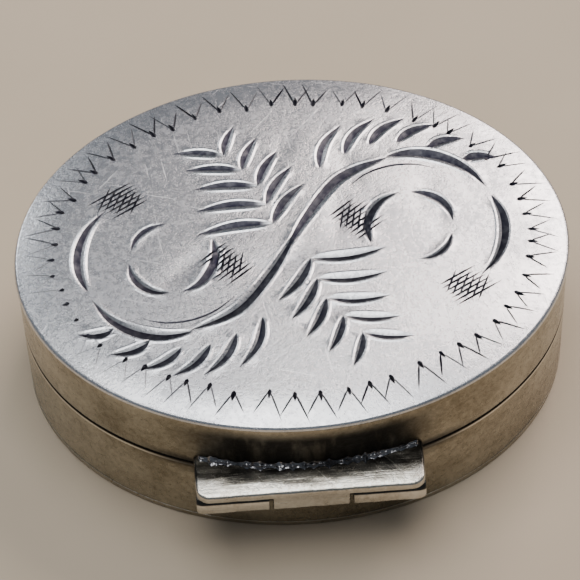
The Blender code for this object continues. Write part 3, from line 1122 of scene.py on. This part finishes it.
def wall_material():
    """Handled walls: warm tarnish, partly a painted shade and warm reflection, fine lines round the box, a
    painted highlight along the edge just below the seam, and painted shade by the hinge and in the seam.
    """
    # The walls' colours are a darker, warmer copy of the lid's silver: partly tarnish, partly painted shade
    # and a painted warm reflection
    graph, colour, rough, normal = aged_silver(
        "wall_silver_worn_painted_light", clean=(0.54, 0.50, 0.40), tarnish=(0.17, 0.14, 0.09), cover=0.55,
        roughness=0.18, grain=(0.5, 0.5, 9.0), grain_depth=0.9)
    soot_and_shade = wall_soot_and_shade(graph)
    # Painted highlight: a bright band along the base's rounded top edge, just below the seam
    edge = graph.fade(graph.apart(graph.axis("Z"), SEAM - 0.30), 0.12, 0.05, 0.0, 0.75)
    colour = graph.blend(edge, colour, (0.86, 0.82, 0.74))
    # Near-black oxide and painted shade by the hinge and in the seam
    colour = graph.blend(graph.times(soot_and_shade, 0.98), colour, (0.012, 0.011, 0.010))
    rough = graph.math("ADD", rough, graph.times(soot_and_shade, 0.25))
    return finish_silver(graph, colour, rough, normal)


def inner_material():
    """Satin inside of the box; the underside and the floor's edge are darkened like the walls, with tarnish
    and painted shade.
    """
    graph, colour, rough, normal = aged_silver(
        "inner_silver_worn_painted_shade", clean=(0.76, 0.74, 0.68), tarnish=(0.48, 0.43, 0.34), cover=0.42,
        roughness=0.30, grain=(0.8, 4.0, 4.0), grain_depth=0.6)
    # Darker tarnish and painted shade on the underside and the floor's edge
    under = graph.fade(graph.axis("Z"), FLOOR_HIGH.z - 0.01, FLOOR_HIGH.z - 0.06)
    tarnish_and_shade_patches = graph.blend(graph.noise((0.35, 0.35, 0.35), 5.0), (0.18, 0.15, 0.10), (0.56, 0.51, 0.42))
    return finish_silver(graph, graph.blend(under, colour, tarnish_and_shade_patches), rough, normal)


def hinge_grime_and_shade(graph):
    """Grime and painted shade at the leaf's back edge, painted shade under the leaf and in the splits
    between the knuckles.
    """
    depth, height = graph.axis("Y"), graph.axis("Z")
    # Grime and painted shade on the leaf where it meets the wall
    back_grime_and_shade = graph.fade(depth, -(HALF_WIDTH + 1.5), -(HALF_WIDTH + 0.3))
    back_grime_and_shade = graph.times(back_grime_and_shade, graph.fade(depth, -2.0, -5.0))
    back_grime_and_shade = graph.times(back_grime_and_shade, graph.ramp(graph.noise((0.7, 1.6, 1.6), 4.0), 0.3, 0.6, 0.55, 1.0))
    # Painted shadow in the gap under the leaf's front edge
    leaf_gap_shade = graph.fade(graph.apart(height, LEAF_LOW.z - 0.23), 0.30, 0.22)
    sideways = graph.apart(graph.axis("X"), 0.0)
    leaf_gap_shade = graph.times(leaf_gap_shade, graph.fade(sideways, KNUCKLE_HIGH.x, KNUCKLE_HIGH.x + 0.1, 0.12, 1.0))
    # Painted shade in the splits between the knuckles
    split = graph.fade(graph.apart(sideways, KNUCKLE_HIGH.x + 0.11), 0.19, 0.11)
    split = graph.times(split, graph.fade(height, LEAF_LOW.z, LEAF_LOW.z - 0.05))
    return graph.math("MAXIMUM", back_grime_and_shade, graph.math("MAXIMUM", split, leaf_gap_shade))


def hinge_material():
    """Filed hinge silver with long scratches, grime and painted shade."""
    graph, colour, rough, normal = aged_silver(
        "hinge_silver_worn_painted_shade", clean=(0.76, 0.74, 0.68), tarnish=(0.30, 0.26, 0.19), cover=0.46,
        roughness=0.17, grain=(0.35, 6.0, 6.0), grain_depth=1.3, turns=(0.05, -0.08, 0.9))
    # Near-black grime and painted shade at the hinge
    colour = graph.blend(graph.times(hinge_grime_and_shade(graph), 0.92), colour, (0.02, 0.018, 0.016))
    return finish_silver(graph, colour, rough, normal)


def pin_material():
    """Dull drawn wire."""
    return finish_silver(*aged_silver(
        "pin_wire_worn", clean=(0.20, 0.18, 0.15), tarnish=(0.04, 0.035, 0.03), cover=0.6,
        roughness=0.35, grain=(0.5, 7.0, 7.0), grain_depth=0.8))


def solder_material():
    """Lumpy solder, mostly black with oxide, bright on its highest spots."""
    return finish_silver(*aged_silver(
        "silver_solder_worn", clean=(0.66, 0.66, 0.68), tarnish=(0.030, 0.028, 0.030), cover=0.66,
        roughness=0.13, grain=(1.0, 1.0, 1.0), grain_depth=0.3))


# ---- setting

def build_stage():
    """Plain pale floor."""
    half = 0.6
    mesh = bpy.data.meshes.new("floor")
    low = -0.02 * MM
    corners = [(-half, -half, low), (half, -half, low), (half, half, low), (-half, half, low)]
    mesh.from_pydata(corners, [], [(0, 1, 2, 3)])
    floor = bpy.data.objects.new("floor", mesh)
    show(floor)
    graph = Graph("floor_paper")
    colour = graph.blend(graph.noise((0.08, 0.08, 0.08), 3.0), (0.46, 0.38, 0.28), (0.52, 0.43, 0.32))
    graph.link(colour, graph.shader.inputs["Base Color"])
    graph.shader.inputs["Roughness"].default_value = 0.85
    mesh.materials.append(graph.material)


def add_softbox(name, place, size, power, colour=(1.0, 1.0, 1.0)):
    """Rectangular soft light that faces the box."""
    light = bpy.data.lights.new(name, "AREA")
    light.shape = "RECTANGLE"
    light.size, light.size_y = size
    light.energy = power
    light.color = colour
    lamp = bpy.data.objects.new(name, light)
    lamp.location = place
    lamp.rotation_euler = (-Vector(place)).to_track_quat("-Z", "Y").to_euler()
    show(lamp)


def build_lights():
    """Soft studio light: overhead, back right, and a weaker one on the left."""
    add_softbox("overhead", (-0.02, -0.01, 0.42), (0.34, 0.26), 1.25)
    add_softbox("back_right", (0.21, 0.28, 0.34), (0.28, 0.26), 1.9, (1.0, 0.87, 0.82))
    add_softbox("back_left", (-0.25, 0.33, 0.27), (0.16, 0.20), 0.42, (0.95, 0.97, 1.0))
    world = bpy.data.worlds.new("studio")
    world.use_nodes = True
    background = world.node_tree.nodes["Background"]
    background.inputs["Color"].default_value = (0.58, 0.65, 0.74, 1.0)
    background.inputs["Strength"].default_value = 0.29
    bpy.context.scene.world = world


def add_camera():
    """Close camera that looks down on the hinge side."""
    azimuth, elevation, roll = (math.radians(angle) for angle in (-2.32, 53.61, -2.21))
    distance, shift_right, shift_up = 0.2127, -0.00039, 0.00411
    back = Vector((math.sin(azimuth) * math.cos(elevation), -math.cos(azimuth) * math.cos(elevation),
                   math.sin(elevation)))
    level = (-back).cross(Vector((0.0, 0.0, 1.0))).normalized()
    rise = level.cross(-back)
    right = level * math.cos(roll) + rise * math.sin(roll)
    up = rise * math.cos(roll) - level * math.sin(roll)
    camera = bpy.data.cameras.new("camera")
    camera.sensor_width = 36.0
    camera.lens = 183.8
    camera.clip_start = 0.01
    holder = bpy.data.objects.new("camera", camera)
    holder.matrix_world = Matrix((right, up, back)).transposed().to_4x4()
    holder.location = back * distance + right * shift_right + up * shift_up
    show(holder)
    bpy.context.scene.camera = holder


add_camera()
build_stage()
build_lights()
walls = wall_material()
inside = inner_material()
fittings = hinge_material()
solder = solder_material()
build_lid_plate(engraved_material())
build_walls(walls, inside)
build_leaf(fittings)
build_knuckles(fittings)
build_pin(pin_material())
build_solder(solder)
build_thumb_piece(fittings)
